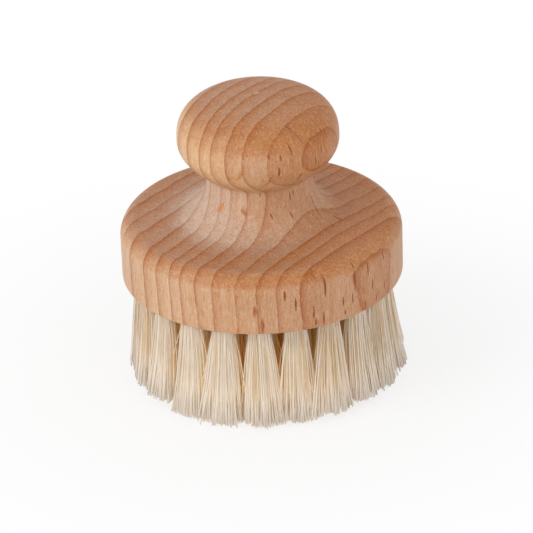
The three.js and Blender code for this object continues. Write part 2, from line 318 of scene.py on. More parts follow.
class Signal:
    """A node's output that takes part in arithmetic, so that a formula in a tree reads as one."""

    def __init__(self, tree, socket):
        self.tree = tree
        self.socket = socket

    def step(self, operation, *operands):
        node = add(self.tree, "ShaderNodeMath", dict(enumerate(operands)), operation=operation)
        return Signal(self.tree, node.outputs[0])

    __add__ = math_step("ADD")
    __radd__ = math_step("ADD", reverse=True)
    __sub__ = math_step("SUBTRACT")
    __rsub__ = math_step("SUBTRACT", reverse=True)
    __mul__ = math_step("MULTIPLY")
    __rmul__ = math_step("MULTIPLY", reverse=True)
    __truediv__ = math_step("DIVIDE")
    __pow__ = math_step("POWER")
    floor = math_step("FLOOR")
    fract = math_step("FRACT")
    root = math_step("SQRT")
    sine = math_step("SINE")
    cosine = math_step("COSINE")
    size = math_step("ABSOLUTE")
    sign = math_step("SIGN")
    below = math_step("LESS_THAN")
    lesser = math_step("MINIMUM")
    greater = math_step("MAXIMUM")

    def clamped(self, low=0.0, high=1.0):
        return self.greater(low).lesser(high)

    def towards(self, other, amount):
        return self + (other - self) * amount

    def smooth(self, low, high):
        inputs = {"Value": self, "From Min": low, "From Max": high}
        node = add(self.tree, "ShaderNodeMapRange", inputs, interpolation_type="SMOOTHSTEP")
        return Signal(self.tree, node.outputs[0])


def put(tree, socket, value):
    """Links a signal or a socket to an input, or sets the input's own value."""
    if isinstance(value, Signal):
        value = value.socket
    if isinstance(value, bpy.types.NodeSocket):
        tree.links.new(value, socket)
    elif socket.type == "RGBA":
        socket.default_value = (*value[:3], 1.0)
    else:
        socket.default_value = value


def find(sockets, key):
    """A socket by its place, or the first one in use by its name."""
    if isinstance(key, int):
        return sockets[key]
    return next(socket for socket in sockets if socket.name == key and socket.enabled)


def add(tree, kind, inputs=None, **settings):
    """A new node with its settings and inputs."""
    node = tree.nodes.new(kind)
    for name, value in settings.items():
        setattr(node, name, value)
    for key, value in (inputs or {}).items():
        put(tree, find(node.inputs, key), value)
    return node


def signal(tree, node, key=0):
    """One output of a node as a signal."""
    return Signal(tree, find(node.outputs, key))


def combine(tree, x, y, z):
    """Three signals or numbers as one vector socket."""
    return add(tree, "ShaderNodeCombineXYZ", {0: x, 1: y, 2: z}).outputs[0]


def separate(tree, vector):
    """The three parts of a vector."""
    node = add(tree, "ShaderNodeSeparateXYZ", {0: vector})
    return [Signal(tree, node.outputs[i]) for i in range(3)]


def blend_colours(tree, amount, first, second, blend_type="MIX"):
    """Two colours mixed by an amount."""
    inputs = {"Factor": amount, "A": first, "B": second}
    node = add(tree, "ShaderNodeMix", inputs, data_type="RGBA", blend_type=blend_type)
    return find(node.outputs, "Result")


def layered(tree, colour_below, *layers):
    """A colour with others laid over it in turn, each by its amount."""
    for amount, layer in layers:
        colour_below = blend_colours(tree, amount, colour_below, layer)
    return colour_below


def vector_step(tree, operation, inputs, output="Vector"):
    """One step of arithmetic on vectors."""
    return signal(tree, add(tree, "ShaderNodeVectorMath", inputs, operation=operation), output)


def noise(tree, vector, scale, detail, output="Fac"):
    """Noise between 0 and 1, as one signal or as a colour of three."""
    node = add(tree, "ShaderNodeTexNoise", {"Vector": vector, "Scale": scale, "Detail": detail})
    return signal(tree, node, output)


def arrange(tree):
    """Lays the nodes out from left to right by how many links they are from the start."""
    depth = {}
    sources = {node: [] for node in tree.nodes}
    for link in tree.links:
        sources[link.to_node].append(link.from_node)

    def rank(node):
        if node not in depth:
            depth[node] = 0
            depth[node] = max((rank(source) + 1 for source in sources[node]), default=0)
        return depth[node]

    filled = {}
    for node in tree.nodes:
        column = rank(node)
        row = filled.get(column, 0)
        filled[column] = row + 1
        node.location = (column * 220, -row * 190)


def new_tree(name, tree_type, output, output_kind, **inputs):
    """A new node tree with its inputs named under their kinds, what they bring as signals, and its end."""
    tree = bpy.data.node_groups.new(name, tree_type)
    for kind, socket_names in inputs.items():
        for socket_name in socket_names:
            tree.interface.new_socket(socket_name, in_out="INPUT", socket_type="NodeSocket" + kind)
    tree.interface.new_socket(output, in_out="OUTPUT", socket_type="NodeSocket" + output_kind)
    given = tree.nodes.new("NodeGroupInput")
    take = {key: Signal(tree, given.outputs[key]) for key in given.outputs.keys() if key}
    return tree, take, tree.nodes.new("NodeGroupOutput")


def shape_tree(name, **inputs):
    """A new geometry tree that takes and gives a mesh and sets its material."""
    always = {"Geometry": ("Mesh",), "Material": ("Material",)}
    return new_tree(name, "GeometryNodeTree", "Mesh", "Geometry", **always, **inputs)


def end_shape_tree(tree, take, result, shape):
    """Ends a geometry tree in plain faces with their material."""
    real = add(tree, "GeometryNodeRealizeInstances", {0: shape.outputs[0]})
    coated = add(tree, "GeometryNodeSetMaterial", {0: real.outputs[0], "Material": take["Material"]})
    put(tree, result.inputs[0], coated.outputs[0])
    arrange(tree)
    return tree


def apply_tree(holder, tree, sizes, values):
    """Puts a tree on an object as a modifier, with each input set by its socket's identifier, from the
    values or else from the size of the same name."""
    modifier = holder.modifiers.new(tree.name, "NODES")
    modifier.node_group = tree
    for item in tree.interface.items_tree:
        if item.in_out == "INPUT" and item.name != "Mesh":
            field = item.name.lower().replace(" ", "_")
            modifier[item.identifier] = values[item.name] if item.name in values else getattr(sizes, field)


def holder_object(name, vertices=(), edges=()):
    """An object that carries the modifiers of one piece until its mesh is taken."""
    mesh = bpy.data.meshes.new(name + "_base")
    mesh.from_pydata([tuple(v) for v in vertices], list(edges), [])
    holder = bpy.data.objects.new(name + "_base", mesh)
    bpy.context.scene.collection.objects.link(holder)
    return holder


def plain_piece(holder, name, material, sharp_angle):
    """Takes the modifiers' result as a plain mesh object at the origin, smooth but for its sharp edges,
    and removes the holder."""
    bpy.context.view_layer.update()
    evaluated = holder.evaluated_get(bpy.context.evaluated_depsgraph_get())
    mesh = bpy.data.meshes.new_from_object(evaluated)
    mesh.name = name
    base = holder.data
    bpy.data.objects.remove(holder)
    bpy.data.meshes.remove(base)
    if not mesh.polygons:
        raise RuntimeError(name + " came out empty")
    mesh.materials.clear()  # drilling leaves an empty slot beside the material's own
    mesh.materials.append(material)
    mesh.shade_smooth()
    mesh.set_sharp_from_angle(angle=sharp_angle)
    piece = bpy.data.objects.new(name, mesh)
    bpy.context.scene.collection.objects.link(piece)
    return piece


# The turned body


def arc(middle_r, middle_z, radius_r, radius_z, start, stop, steps):
    """Points along part of an ellipse, with both ends."""
    turns = [start + (stop - start) * i / steps for i in range(steps + 1)]
    return [(middle_r + radius_r * math.cos(a), middle_z + radius_z * math.sin(a)) for a in turns]


def body_profile(sizes):
    """The body's outline as radius and height, from the middle of the underside to the top of the knob."""
    side_top = FACE_Z + sizes.side_height
    top_face = side_top + sizes.rounding
    cove_foot = top_face + sizes.face_rise
    cove_radius = sizes.cove_diameter / 2
    neck_radius = sizes.neck_diameter / 2
    neck_z = cove_foot + sizes.neck_height
    knob_radius = sizes.knob_diameter / 2
    belly_z = neck_z + sizes.belly_height
    crown = BODY_HIGH.z - belly_z
    quarter = math.pi / 2
    arris = sizes.arris
    rounding = sizes.rounding

    points = [(0.0, FACE_Z), (HEAD_RADIUS - arris - STRAIGHT, FACE_Z)]
    points += arc(HEAD_RADIUS - arris, FACE_Z + arris, arris, arris, -quarter, 0.0, ARRIS_STEPS)
    points += [(HEAD_RADIUS, FACE_Z + arris + STRAIGHT), (HEAD_RADIUS, side_top - STRAIGHT)]
    turned = quarter * ROUNDED
    points += arc(HEAD_RADIUS - rounding, side_top, rounding, rounding, 0.0, turned, ROUNDING_STEPS)
    edge_r, edge_z = points[-1]
    for i in range(1, FACE_STEPS):
        t = i / FACE_STEPS
        dish = sizes.face_dish * DISH_SCALE * t * (1 - t) ** 2
        points.append((edge_r + (cove_radius - edge_r) * t, edge_z + (cove_foot - edge_z) * t - dish))
    cove = cove_radius - neck_radius
    points += arc(cove_radius, neck_z, cove, sizes.neck_height, -quarter, -2 * quarter, COVE_STEPS)
    pull = [
        (neck_radius, neck_z),
        (neck_radius, neck_z + sizes.neck_sharpness * sizes.belly_height),
        (knob_radius, belly_z - sizes.belly_sweep * sizes.belly_height),
        (knob_radius, belly_z),
    ]
    for i in range(1, BELLY_STEPS + 1):
        t = i / BELLY_STEPS
        weights = ((1 - t) ** 3, 3 * t * (1 - t) ** 2, 3 * t * t * (1 - t), t ** 3)
        points.append(tuple(sum(w * p[axis] for w, p in zip(weights, pull)) for axis in (0, 1)))
    power = 2 / sizes.crown_fullness
    for i in range(1, CROWN_STEPS + 1):
        a = quarter * i / CROWN_STEPS
        r = knob_radius * math.cos(a) ** power if i < CROWN_STEPS else 0.0
        points.append((r, belly_z + crown * math.sin(a) ** power))
    return points


def turning_tree():
    """A tree that turns a profile of loose points about +Z into a closed body."""
    tree, take, result = shape_tree("Turning", Int=("Segments",))
    segments = take["Segments"]
    counted = add(tree, "GeometryNodeAttributeDomainSize", {0: take["Mesh"]}, component="MESH")
    count = signal(tree, counted, "Point Count")
    grid = add(tree, "GeometryNodeMeshGrid", {"Vertices X": segments + 1.0, "Vertices Y": count})
    index = signal(tree, add(tree, "GeometryNodeInputIndex"))
    column = (index / count).floor()
    row = index - column * count
    position = add(tree, "GeometryNodeInputPosition").outputs[0]
    sampled = {"Geometry": take["Mesh"], "Value": position, "Index": row}
    sample = add(tree, "GeometryNodeSampleIndex", sampled, data_type="FLOAT_VECTOR", domain="POINT")
    radius, _, height = separate(tree, find(sample.outputs, "Value"))
    turn = column / segments * (2 * math.pi)
    place = combine(tree, radius * turn.cosine(), radius * turn.sine(), height)
    turned = add(tree, "GeometryNodeSetPosition", {"Geometry": grid.outputs["Mesh"], "Position": place})
    closed = add(tree, "GeometryNodeMergeByDistance", {0: turned.outputs[0], "Distance": SEAM})
    return end_shape_tree(tree, take, result, closed)


def drilling_tree():
    """A tree that drills one ring of tuft holes, with the cuts of each staple's legs past their ends."""
    tree, take, result = shape_tree(
        "Drilling",
        Int=("Holes",),
        Float=(
            "Ring Radius", "First Angle", "Face Height", "Hole Diameter", "Hole Depth",
            "Leg Spread", "Leg Bite", "Leg Width",
        ),
    )
    index = signal(tree, add(tree, "GeometryNodeInputIndex"))
    turn = take["First Angle"] + index / take["Holes"] * (2 * math.pi)
    place = combine(tree, take["Ring Radius"] * turn.cosine(), take["Ring Radius"] * turn.sine(), 0.0)
    points = add(tree, "GeometryNodePoints", {"Count": take["Holes"], "Position": place})
    drill = {
        "Vertices": HOLE_SIDES,
        "Radius": take["Hole Diameter"] / 2.0,
        "Depth": take["Hole Depth"] + DRILL_OVERRUN,
    }
    bore = add(tree, "GeometryNodeMeshCylinder", drill, fill_type="NGON")
    bore_z = take["Face Height"] + (take["Hole Depth"] - DRILL_OVERRUN) / 2.0
    raised = combine(tree, 0.0, 0.0, bore_z)
    lifted = add(tree, "GeometryNodeTransform", {0: bore.outputs["Mesh"], "Translation": raised})
    cuts = []
    for side in (-1.0, 1.0):
        cut_size = combine(tree, take["Leg Width"], take["Leg Width"], take["Leg Bite"] * 2.0)
        cut = add(tree, "GeometryNodeMeshCube", {"Size": cut_size})
        cut_z = take["Face Height"] + take["Hole Depth"]
        moved = combine(tree, take["Leg Spread"] * side, 0.0, cut_z)
        cuts.append(add(tree, "GeometryNodeTransform", {0: cut.outputs["Mesh"], "Translation": moved}))
    drilled = add(tree, "GeometryNodeMeshBoolean", operation="DIFFERENCE", solver="MANIFOLD")
    put(tree, drilled.inputs["Mesh 1"], take["Mesh"])
    facing = combine(tree, 0.0, 0.0, turn + math.pi / 2)
    for bit in (lifted, *cuts):
        set_bits = {"Points": points.outputs[0], "Instance": bit.outputs[0], "Rotation": facing}
        bits = add(tree, "GeometryNodeInstanceOnPoints", set_bits)
        real = add(tree, "GeometryNodeRealizeInstances", {0: bits.outputs[0]})
        put(tree, drilled.inputs["Mesh 2"], real.outputs[0])
    return end_shape_tree(tree, take, result, drilled)


class BRUSH_OT_turn_body(bpy.types.Operator):
    """Turns the beech body from its profile and drills the tuft holes in its underside"""

    bl_idname = "brush.turn_body"
    bl_label = "Turn and Drill the Body"

    def execute(self, context):
        sizes = context.scene.brush_body
        tufts = context.scene.brush_tufts
        material = beech_material(context.scene.brush_beech)
        profile = body_profile(sizes)
        edges = [(i, i + 1) for i in range(len(profile) - 1)]
        holder = holder_object("beech_body", [(r, 0.0, z) for r, z in profile], edges)
        values = {"Face Height": FACE_Z, "Material": material}
        apply_tree(holder, turning_tree(), sizes, values)
        drilling = drilling_tree()
        for _, count, radius in RINGS:
            values.update({"Holes": count, "Ring Radius": radius * MM})
            apply_tree(holder, drilling, tufts, values)
        body = plain_piece(holder, "beech_body", material, SHARP_EDGE)
        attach(body, "root")
        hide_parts("turned_body")
        return {"FINISHED"}


# The tufts


def chance(tree, identity, seed, low=0.0, high=1.0):
    """A random number for each identity."""
    inputs = {"Min": low, "Max": high, "ID": identity, "Seed": seed}
    return signal(tree, add(tree, "FunctionNodeRandomValue", inputs, data_type="FLOAT"), "Value")


def drift(tree, x, y, scale, seed, detail=1.0):
    """Two smooth signals between -1 and 1 that neighbouring places share."""
    place = combine(tree, x, y, seed * 3.7)
    red, green, _ = separate(tree, noise(tree, place, scale, detail, "Color"))
    return (red - 0.5) * 2.0, (green - 0.5) * 2.0


def tuft_tree():
    """A tree that makes one ring of tufts. Each fibre passes up through its hole, over the staple's crown
    and down again, and its two legs fan out below the wood to uneven tips."""
    tree, take, result = shape_tree(
        "Tuft Ring",
        Int=("Tufts", "Fibres", "Seed", "Length Seed"),
        Float=(
            "Ring Radius", "First Angle", "Fibre Width", "Face Height", "Mouth Radius", "Crown Height",
            "Fold Height", "Fold Low", "Fold Gap", "Fold Width", "Fan Along", "Fan Across", "Fan Rim",
            "Lean", "Sweep", "Tuft Drift", "Clumping", "Unevenness", "Bow", "Stray Share", "Stray Reach",
        ),
    )
    seed = take["Seed"]
    points = add(tree, "GeometryNodePoints", {"Count": take["Tufts"] * take["Fibres"]})
    line = add(tree, "GeometryNodeCurvePrimitiveLine", {"Start": (0, 0, 0), "End": (0, 0, 0.01)})
    stepped = add(tree, "GeometryNodeResampleCurve", {0: line.outputs[0], "Count": 2 * LEG_POINTS + 1})
    laid = {"Points": points.outputs[0], "Instance": stepped.outputs[0]}
    fibres = add(tree, "GeometryNodeInstanceOnPoints", laid)
    curves = add(tree, "GeometryNodeRealizeInstances", {0: fibres.outputs[0]})

    # Which tuft, fibre and leg a point is of, and how many steps it is from the fold.
    of_point = add(tree, "GeometryNodeCurveOfPoint")
    number = signal(tree, of_point, "Curve Index")
    step = signal(tree, of_point, "Index in Curve") - float(LEG_POINTS)
    side = step.sign()
    depth = step.size()
    leg = number * 2.0 + (side + 1.0) / 2.0
    tuft = (number / take["Fibres"]).floor()
    fibre = number - tuft * take["Fibres"]

    # The fibre's own place in the section of its tuft, from -1 to 1 along the ring and 0 to 1 across it.
    rho = ((fibre + 0.5) / take["Fibres"]) ** 0.42
    phi = (fibre * GOLDEN_TURN).fract() * math.pi
    along = rho * phi.cosine()
    across = rho * phi.sine()

    # How far the point is past the crown, down to the mouth of the hole, and from there to the tip.
    over = depth.clamped()
    to_mouth = (depth - 1.0).clamped()
    free = ((depth - 2.0) / (LEG_POINTS - 2.0)).clamped()
    spread = free ** chance(tree, leg, seed + 1.0, 0.72, 1.12)

    fold_x = along * take["Fold Width"]
    fold_y = take["Fold Gap"] + across * take["Fold Gap"] * 1.2
    root_x = fold_x.towards(along * take["Mouth Radius"], to_mouth)
    root_y = fold_y.towards(across * take["Mouth Radius"] * 0.82, to_mouth) * side * over

    fan = chance(tree, tuft, seed + 2.0, 0.9, 1.08)
    tip_x = along * take["Fan Along"] * fan
    tip_y = across * take["Fan Rim"].towards(take["Fan Across"], (side + 1.0) / 2.0) * fan * side
    place_x = (tip_x + tuft * TUFT_STEP[0]) * 1000.0
    place_y = (tip_y + tuft * TUFT_STEP[1]) * 1000.0
    lock_x, lock_y = drift(tree, place_x, place_y, 0.42, seed)
    loose = chance(tree, leg, seed + 3.0, -1.0, 1.0)
    loose_y = chance(tree, leg, seed + 4.0, -1.0, 1.0)
    stray = chance(tree, leg, seed + 5.0).below(take["Stray Share"])
    reach = stray * take["Stray Reach"] * (0.6 + chance(tree, leg, seed + 13.0) ** 3.0)
    drift_x = chance(tree, tuft, seed + 14.0, -1.0, 1.0) * take["Tuft Drift"]
    drift_y = chance(tree, tuft, seed + 15.0, -0.5, 0.5) * take["Tuft Drift"]
    tip_x = tip_x + lock_x * take["Clumping"] + loose * (0.45 * MM + reach) + drift_x
    tip_y = tip_y + lock_y * take["Clumping"] * 0.5 + loose_y * (0.2 * MM + reach * 0.4) + drift_y

    bend = (free * math.pi).sine() * take["Bow"]
    bow_x = chance(tree, leg, seed + 6.0, -1.0, 1.0) * bend
    bow_y = chance(tree, leg, seed + 7.0, -1.0, 1.0) * bend * 0.5
    x = root_x.towards(tip_x, spread) + bow_x
    y = root_y.towards(tip_y, spread ** 1.25) + bow_y

    trim, _ = drift(tree, place_x, place_y, 0.55, seed + 11.0, 2.0)
    own = chance(tree, leg, seed + 8.0)
    whole = chance(tree, tuft, take["Length Seed"])
    short = (trim * 1.3 + 1.0) * 0.42 + own * 0.3 + whole * 0.62 - 0.29
    lift = short.clamped(0.0, 1.2) * take["Unevenness"]
    fold_top = take["Fold Low"].towards(take["Fold Height"], across)
    z = fold_top.towards(take["Crown Height"], over)
    z = z.towards(take["Face Height"], to_mouth)
    z = z.towards(lift, free)

    turn = take["First Angle"] + tuft / take["Tufts"] * (2 * math.pi) + math.pi / 2
    out = take["Ring Radius"] + take["Lean"] * free ** 1.5
    local = combine(tree, x, y - out, z)
    turned = add(tree, "ShaderNodeVectorRotate", {"Vector": local, "Angle": turn}, rotation_type="Z_AXIS")
    _, place_back, _ = separate(tree, turned.outputs[0])
    brushed = combine(tree, take["Sweep"] * free ** 1.3 * place_back.smooth(-14.0 * MM, 0.0), 0.0, 0.0)
    moved = {"Geometry": curves.outputs[0], "Position": turned.outputs[0], "Offset": brushed}
    shaped = add(tree, "GeometryNodeSetPosition", moved)

    shade = chance(tree, leg, seed + 10.0) * (1.0 - stray)
    for name, value in zip(FIBRE_MARKS, (shade, free, whole)):
        mark = {"Geometry": shaped.outputs[0], "Name": name, "Value": value}
        shaped = add(tree, "GeometryNodeStoreNamedAttribute", mark, data_type="FLOAT", domain="POINT")

    section = {"Resolution": STRAND_SIDES, "Radius": 1.1}
    ring = add(tree, "GeometryNodeCurvePrimitiveCircle", section, mode="RADIUS")
    thick = take["Fibre Width"] * 0.5 * chance(tree, leg, seed + 12.0, 0.8, 1.2) * (0.9 + free * 0.1)
    swept = {"Curve": shaped.outputs[0], "Profile Curve": ring.outputs[0], "Scale": thick, "Fill Caps": True}
    return end_shape_tree(tree, take, result, add(tree, "GeometryNodeCurveToMesh", swept))


class BRUSH_OT_set_tufts(bpy.types.Operator):
    """Folds the fibres over their staples and fans them out, one piece for each ring of tufts"""

    bl_idname = "brush.set_tufts"
    bl_label = "Set the Tufts"

    def execute(self, context):
        sizes = context.scene.brush_tufts
        material = fibre_material(context.scene.brush_fibre)
        tree = tuft_tree()
        outer = RINGS[0][2]
        for i, (node, count, radius) in enumerate(RINGS):
            holder = holder_object("fibre_" + node)
            values = {
                "Tufts": count,
                "Ring Radius": radius * MM,
                "Face Height": FACE_Z,
                "Mouth Radius": sizes.hole_diameter / 2 - sizes.mouth_slack,
                "Crown Height": STAPLE_LOW.z + sizes.crown_rise,
                "Fold Height": FACE_Z + sizes.hole_depth - sizes.fold_slack,
                "Fold Low": STAPLE_LOW.z + sizes.fold_rise,
                "Fan Rim": sizes.fan_rim if i == 0 else sizes.fan_across,
                "Lean": sizes.lean * radius / outer,
                "Seed": sizes.seed + SEED_STEP * i,
                "Length Seed": sizes.length_seed + SEED_STEP * i,
                "Material": material,
            }
            apply_tree(holder, tree, sizes, values)
            tufts = plain_piece(holder, "fibre_" + node, material, STRAND_EDGE)
            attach(tufts, "root")
            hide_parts(node)
        return {"FINISHED"}


# Finishes


def streak_group():
    """Noise drawn out along one way, as in wood fibres, plant fibres and drawn wire."""
    name = "Drawn Streaks"
    if name in bpy.data.node_groups:
        return bpy.data.node_groups[name]
    kinds = {"Vector": ("Vector",), "Float": ("Across", "Along", "Detail")}
    tree, take, result = new_tree(name, "ShaderNodeTree", "Streak", "Float", **kinds)
    x, y, z = separate(tree, take["Vector"])
    drawn = combine(tree, x / take["Across"], y / take["Across"], z / take["Along"])
    inputs = {"Vector": drawn, "Scale": 1.0, "Detail": take["Detail"], "Roughness": 0.6}
    texture = add(tree, "ShaderNodeTexNoise", inputs)
    put(tree, result.inputs[0], texture.outputs["Fac"])
    arrange(tree)
    return tree


def streaks(tree, vector, across, along, detail):
    """The streak group placed in a material with its own values, as a signal between -1 and 1."""
    inputs = {"Vector": vector, "Across": across, "Along": along, "Detail": detail}
    node = add(tree, "ShaderNodeGroup", inputs, node_tree=streak_group())
    return (signal(tree, node) - 0.5) * 2.0


def new_material(name):
    """A material with a Principled BSDF and an output, and the piece's place in mm."""
    material = bpy.data.materials.new(name)
    material.use_nodes = True
    tree = material.node_tree
    shader = tree.nodes["Principled BSDF"]
    coords = tree.nodes.new("ShaderNodeTexCoord")
    place = vector_step(tree, "SCALE", {0: coords.outputs["Object"], "Scale": 1 / MM})
    return material, tree, shader, coords, place


def coat(tree, shader, base, roughness, relief, strength, depth):
    """Sets what varies over a surface: its colour, its roughness and its fine relief, to a depth in mm."""
    put(tree, shader.inputs["Base Color"], base)
    put(tree, shader.inputs["Roughness"], roughness.clamped())
    bump = add(tree, "ShaderNodeBump", {"Strength": strength, "Distance": depth * MM, "Height": relief})
    put(tree, shader.inputs["Normal"], bump.outputs[0])


def flecks(tree, place, cell, half, smallest):
    """Lens-shaped flecks, one in each cell, as a mask. Sizes are across, along the rings and in height."""
    parts = separate(tree, place)
    scaled = combine(tree, *[part / size for part, size in zip(parts, cell)])
    cells = add(tree, "ShaderNodeTexVoronoi", {"Vector": scaled, "Scale": 1.0}, feature="F1")
    own, _, _ = separate(tree, cells.outputs["Color"])
    offset = vector_step(tree, "SUBTRACT", {0: scaled, 1: cells.outputs["Position"]})
    reach = None
    for part, size, limit in zip(separate(tree, offset), cell, half):
        term = (part * (size / limit)) ** 2.0
        reach = term if reach is None else reach + term
    size = smallest + own * (1.0 - smallest)
    return 1.0 - (reach.root() / size).smooth(0.6, 1.0)


def ray_sheets(tree, place):
    """The single rays as one mask, at a place given as out across the rings, along them and in height."""
    nearest = None
    for *middle, height, thickness in RAYS:
        scale = Vector((1 / RAY_REACH, 1 / (thickness + RAY_BLUR), 1 / height))
        moved = vector_step(tree, "MULTIPLY_ADD", {0: place, 1: scale, 2: -scale * Vector(middle)})
        reach = vector_step(tree, "LENGTH", {0: moved}, "Value")
        nearest = reach if nearest is None else nearest.lesser(reach)
    return 1.0 - nearest.smooth(0.55, 1.0)


def blemish(tree, place, start, stop, width):
    """One short mark between two points of the surface, widest in its middle, as a mask."""
    start = Vector(start)
    run = Vector(stop) - start
    offset = vector_step(tree, "SUBTRACT", {0: place, 1: start})
    part = vector_step(tree, "DOT_PRODUCT", {0: offset, 1: run / run.length_squared}, "Value").clamped()
    nearest = vector_step(tree, "SCALE", {0: run, "Scale": part})
    gap = vector_step(tree, "DISTANCE", {0: offset, 1: nearest}, "Value")
    taper = part * (1.0 - part) * 3.4 + 0.15
    return 1.0 - (gap / (taper * width)).smooth(0.1, 1.1)


def beech_material(finish):
    """Beech with year rings, rays and pores that run through the solid, oiled to a satin."""
    material, tree, shader, coords, place = new_material("oiled_beech")
    normal_x, normal_y, normal_z = separate(tree, coords.outputs["Normal"])
    turn_x = math.cos(finish.ring_angle)
    turn_y = math.sin(finish.ring_angle)

    # How far out in the tree each place of the wood grew, in mm from the axis of turning.
    low = vector_step(tree, "MULTIPLY", {0: place, 1: (1.0, 1.0, 0.3)})
    sway_out, sway_along, _ = separate(tree, noise(tree, low, 0.05, 2.0, "Color"))
    x, y, z = separate(tree, place)
    across = x * turn_x + y * turn_y
    along = y * turn_x - x * turn_y
    lean = (z - (FACE_Z / MM + 5.0)) * finish.ring_lean
    sway_all = (sway_out - 0.5) * 2.6 + (noise(tree, low, 0.42, 1.5) - 0.5) * 0.45
    rings = across + lean - along * along / (2 * finish.pith_distance / MM) + sway_all

    # The year that it grew in, from the measured lines, and how far that year's growth had come.
    span = RING_LINES[-1] - RING_LINES[0]
    count = len(RING_LINES) - 1
    spacing = tree.nodes.new("ShaderNodeFloatCurve")
    curve = spacing.mapping.curves[0]
    for i, crossing in enumerate(RING_LINES):
        where = ((crossing - RING_LINES[0]) / span, i / count)
        if i in (0, count):
            curve.points[0 if i == 0 else -1].location = where
        else:
            curve.points.new(*where)
    for point in curve.points:
        point.handle_type = "VECTOR"
    spacing.mapping.update()
    put(tree, spacing.inputs["Value"], (rings - RING_LINES[0]) / span)
    year = Signal(tree, spacing.outputs[0]) * float(count)
    growth = year.fract()
    own = add(tree, "ShaderNodeTexWhiteNoise", {"W": year.floor()}, noise_dimensions="1D")
    vigour = 0.7 + signal(tree, own, "Value") * 0.6

    line = (1.0 - growth) ** 11.0 + growth.smooth(0.965, 1.0)
    band = (1.0 - growth) ** 1.6

    # How the surface cuts the wood, and where light and shade are painted on. Places are in mm.
    end = normal_z.size().smooth(0.55, 0.98)
    oblique = normal_z.smooth(0.1, 0.5) * (1.0 - normal_z.smooth(0.8, 1.0) * 0.6)
    outward = normal_x * turn_x + normal_y * turn_y
    facing = outward.size().smooth(0.3, 0.8)
    radius = (x * x + y * y).root()
    # 1 on the head's rim and on the knob, 0 in the cove, where the oblique grain's orange is cut back as
    # painted light.
    clear_of_painted_cove_light = (radius.smooth(19.0, 28.0) + z.smooth(53.0, 57.0)).clamped()
    # Painted shade: the knob's right-front side, away from the key lamp, is made darker and more orange.
    grip = z.smooth(50.0, 56.0) * outward.smooth(0.45, 1.0)
    # Painted light: the cove and the neck are made paler on the left, where the key lamp falls, and at the
    # cove's foot, where shade falls.
    painted_cove_light_left = z.smooth(54.0, 48.5) * x.smooth(2.0, -9.0)
    painted_cove_light_foot = z.smooth(46.0, 41.0) * x.smooth(14.0, 2.0) * 0.75
    painted_cove_light = radius.smooth(24.0, 15.5) * (painted_cove_light_left + painted_cove_light_foot)
    # Painted light: the left part of the knob's underside, where shade falls, and the knob's left side,
    # which faces the key lamp, are made paler.
    under = normal_z.smooth(-0.1, -0.7) * z.smooth(48.5, 51.0) * x.smooth(9.0, -5.0)
    painted_light_knob_left = z.smooth(52.0, 57.0) * normal_x.smooth(-0.2, -0.8) * (1.0 - end)
    cut = (end + normal_z.smooth(0.2, 0.7) * 0.6).clamped()

    # Rays, pores, streaks and grit.
    grain_place = combine(tree, rings, along + (sway_along - 0.5) * 1.5, z)
    rays = flecks(tree, grain_place, (26.0, 1.45, 4.6), (18.0, 0.28, 2.9), 0.4)
    fine_rays = flecks(tree, grain_place, (7.0, 0.7, 2.1), (4.2, 0.12, 0.9), 0.3)
    pores = streaks(tree, place, 0.3, 2.4, 3.0)
    bands = streaks(tree, place, 1.6, 26.0, 2.0)
    mottle = (noise(tree, place, 0.07, 1.0) - 0.5) * 2.0
    grit = (noise(tree, place, 2.4, 2.0) - 0.5) * 2.0

    # The strengths of the layers of colour, and then the layers from the plain wood up.
    # Orange of the oblique grain: less on faces turned away from the rings' normal, and cut back in the cove
    # as painted light.
    warmth = oblique * 0.85 * (0.2 + outward.smooth(-0.7, 0.55) * 0.8) * (0.25 + clear_of_painted_cove_light * 0.75)
    contrast = finish.side_contrast + cut * (finish.end_contrast - finish.side_contrast)
    # The year rings are weakened under the painted light in the cove.
    band_strength = band * vigour * contrast * (1.0 - painted_cove_light * 0.45)
    line_strength = line * vigour * (0.6 + end * 0.15) * (1.0 - painted_cove_light * 0.3)
    singles = ray_sheets(tree, combine(tree, across, along, z))
    far_side = y.smooth(-12.0, 8.0) * 0.9 + 0.1
    many = rays * (0.05 + facing * 0.85 - end * 0.05) * far_side
    ray_strength = many + fine_rays * (0.12 + facing * 0.1 + end * 0.45) + singles * (0.65 + facing * 0.25)
    square_on = outward.size().smooth(0.35, 0.75)
    figure = streaks(tree, place, 0.5, 2.2, 2.0)
    wood = layered(
        tree,
        # Flat grain only on faces turned right-front, away from the key lamp: the wood's own grain, set
        # darker also as painted shade.
        blend_colours(tree, outward.smooth(0.0, 1.0), finish.side, finish.flat),
        (end, blend_colours(tree, x.smooth(0.0, 24.0), finish.end, finish.end_deep)),
        # Painted light in the cove and round the neck.
        ((painted_cove_light * 0.7).clamped(), finish.sanded),
        # Painted light under the knob and on its left side.
        ((under + painted_light_knob_left).clamped() * 0.5, finish.blond),
        # Oblique grain, and painted shade on the knob's right-front side.
        ((warmth + grip * 0.75).clamped(), finish.oblique),
        (band_strength.clamped(), finish.late),
        (line_strength.clamped(), finish.line),
        (ray_strength.clamped(0.0, 0.9), blend_colours(tree, square_on, finish.slant_ray, finish.ray)),
        (figure.smooth(0.0, 0.5) * 0.3, finish.blond),
        (figure.smooth(0.0, -0.5) * 0.25, finish.amber),
        (pores.smooth(0.08, 0.55) * 0.25, finish.late),
    )
    tone = (0.5 + mottle * 0.15 + bands * 0.3 - pores * 0.45 + grit * (0.4 + end * 0.2)).clamped()
    warm_tone = combine(tree, tone * 0.7 + 0.15, tone, tone * 1.4 - 0.2)
    wood = blend_colours(tree, 0.55, wood, warm_tone, "SOFT_LIGHT")
